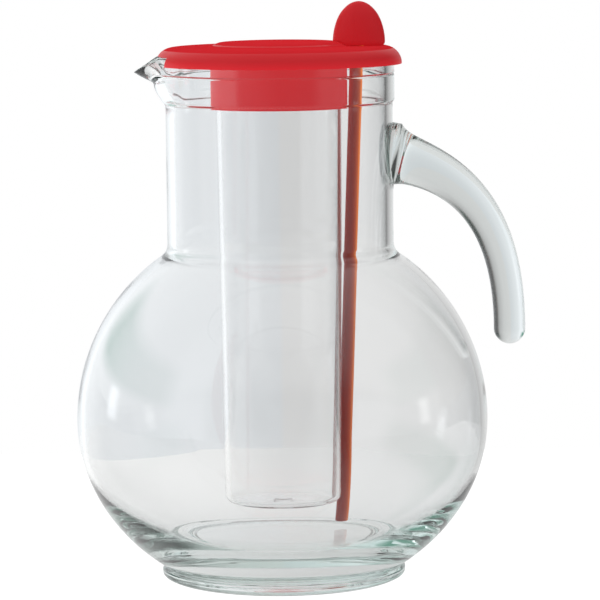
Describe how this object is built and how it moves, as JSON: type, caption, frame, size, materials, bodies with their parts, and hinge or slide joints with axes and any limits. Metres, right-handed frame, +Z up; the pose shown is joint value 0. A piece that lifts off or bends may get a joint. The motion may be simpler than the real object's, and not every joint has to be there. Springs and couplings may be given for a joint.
{
  "type": "pitcher",
  "caption": "Round-bodied glass pitcher with a straight neck, spout, open-ended handle, push-on plastic lid, hanging ice tube and long stirrer.",
  "frame": {"origin": "centre of the foot ring, in the plane of the table", "axes": "+Z up along the jug's axis, +X towards the handle, -X towards the spout"},
  "size_m": [0.1837, 0.168, 0.2354],
  "materials": {
    "clear_glass": "polished",
    "handle_glass": "polished",
    "lid_red": "gloss",
    "clear_plastic": "gloss",
    "stirrer_red": "gloss"
  },
  "bodies": {
    "jug": {"jug_body": "clear_glass", "jug_handle": "handle_glass"},
    "cover": {"lid": "lid_red"},
    "tube": {"ice_tube": "clear_plastic"},
    "stirrer": {"stirrer_rod": "stirrer_red", "stirrer_knob": "stirrer_red"}
  },
  "joints": [
    {"name": "lid_lift", "type": "slide", "parent": "jug", "child": "cover", "axis": [0, 0, 1], "range_m": [0, 0.21]},
    {"name": "tube_pull", "type": "slide", "parent": "cover", "child": "tube", "axis": [0, 0, -1], "range_m": [0, 0.0145]},
    {"name": "stirrer_lift", "type": "slide", "parent": "cover", "child": "stirrer", "axis": [0.0365, -0.0616, 0.9974], "range_m": [0, 0.205]}
  ]
}
